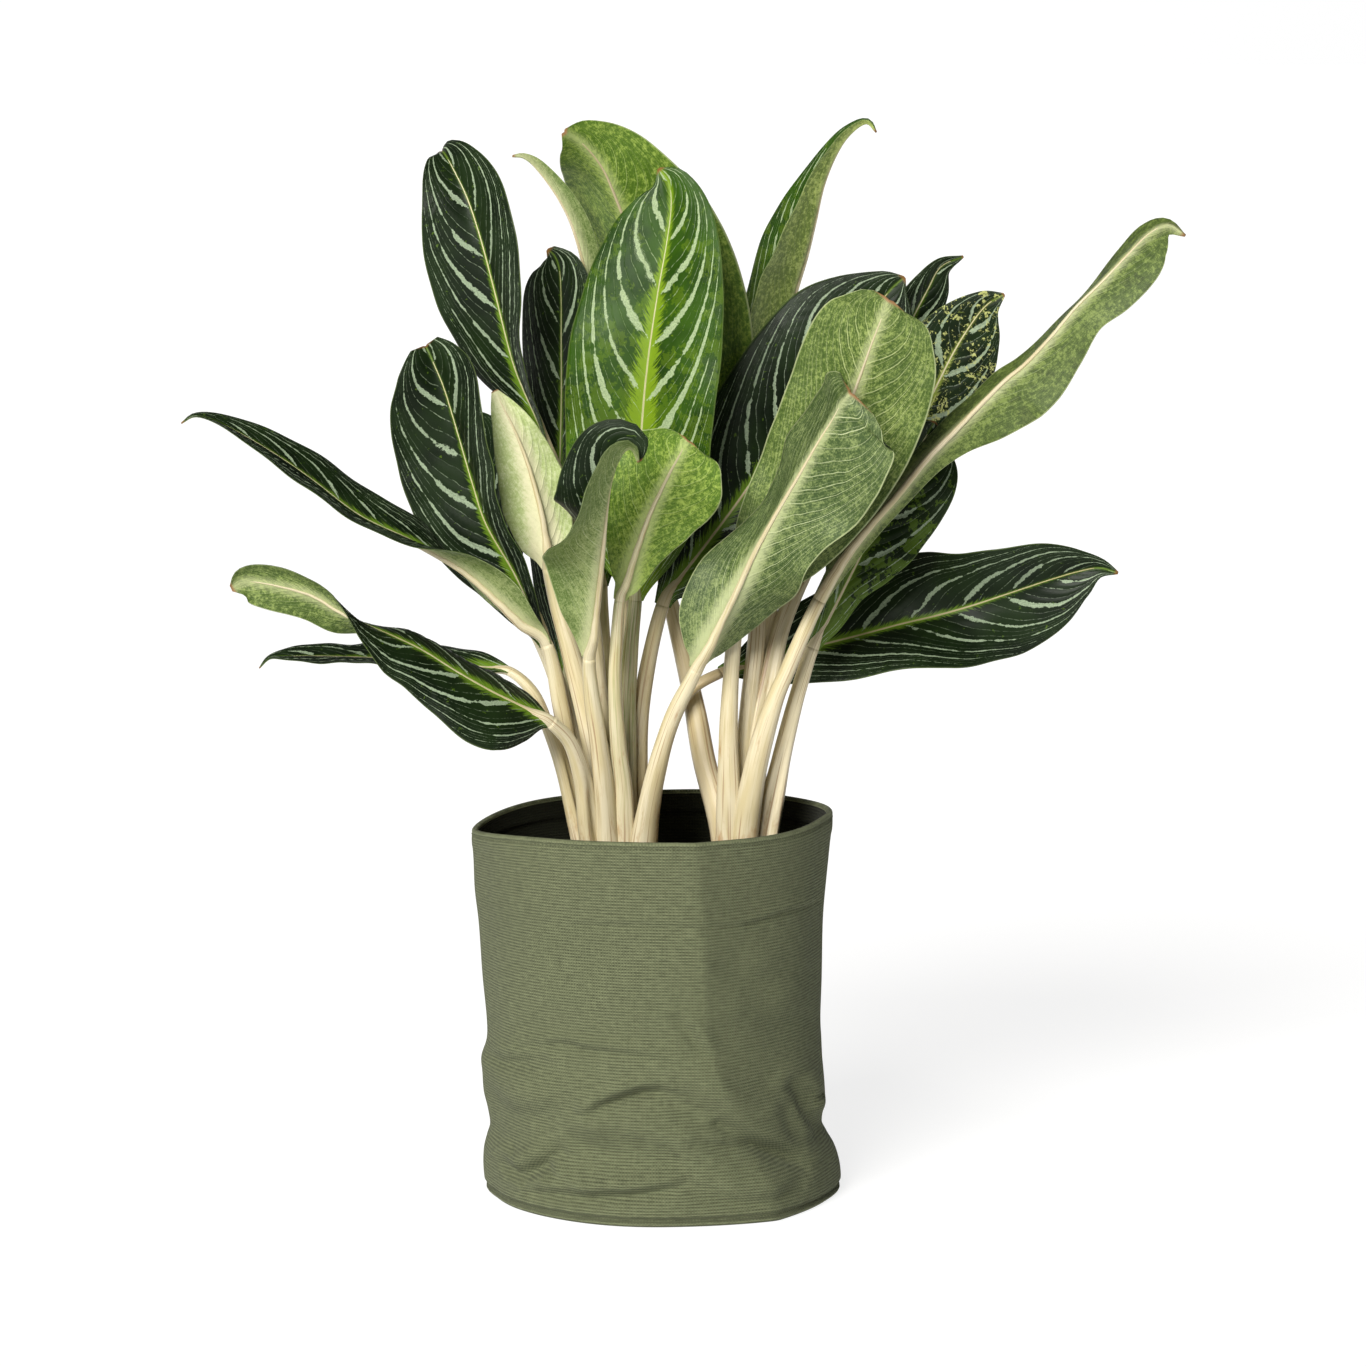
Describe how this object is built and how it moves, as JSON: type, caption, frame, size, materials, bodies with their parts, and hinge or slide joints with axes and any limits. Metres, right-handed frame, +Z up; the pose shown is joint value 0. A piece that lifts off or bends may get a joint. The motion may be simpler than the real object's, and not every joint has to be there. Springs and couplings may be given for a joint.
{
  "type": "potted chinese evergreen",
  "caption": "Bushy Chinese evergreen with dark silver-feathered leaves on cream stalks, in a pot of soil inside a round soft canvas planter bag.",
  "frame": {"origin": "on the floor, under the middle of the bag's mouth", "axes": "+Z up, -Y towards the front, from which the plant is seen, +X to its right"},
  "size_m": [0.5812, 0.3259, 0.6324],
  "materials": {
    "canvas": "olive canvas, matt",
    "pot_plastic": "matt black plastic",
    "potting_soil": "moist crumbly soil",
    "stalk": "smooth, cream, slightly waxy",
    "leaf_dark": "satin",
    "leaf_bright": "satin",
    "leaf_pale": "matt"
  },
  "bodies": {
    "root": {"bag_base": "canvas", "bag_wall": "canvas", "leaf_01": "leaf_dark", "leaf_02": "leaf_dark", "leaf_03": "leaf_dark", "leaf_04": "leaf_dark", "leaf_05": "leaf_dark", "leaf_06": "leaf_dark", "leaf_07": "leaf_bright", "leaf_08": "leaf_pale", "leaf_09": "leaf_pale", "leaf_10": "leaf_pale", "leaf_11": "leaf_dark", "leaf_12": "leaf_pale", "leaf_13": "leaf_pale", "leaf_14": "leaf_dark", "leaf_15": "leaf_dark", "leaf_16": "leaf_pale", "leaf_17": "leaf_dark", "leaf_18": "leaf_bright", "leaf_19": "leaf_bright", "leaf_20": "leaf_pale", "leaf_21": "leaf_pale", "leaf_22": "leaf_dark", "leaf_23": "leaf_dark", "leaf_24": "leaf_dark", "nursery_pot": "pot_plastic", "potting_soil": "potting_soil", "stalks_left": "stalk", "stalks_right": "stalk"}
  },
  "joints": []
}
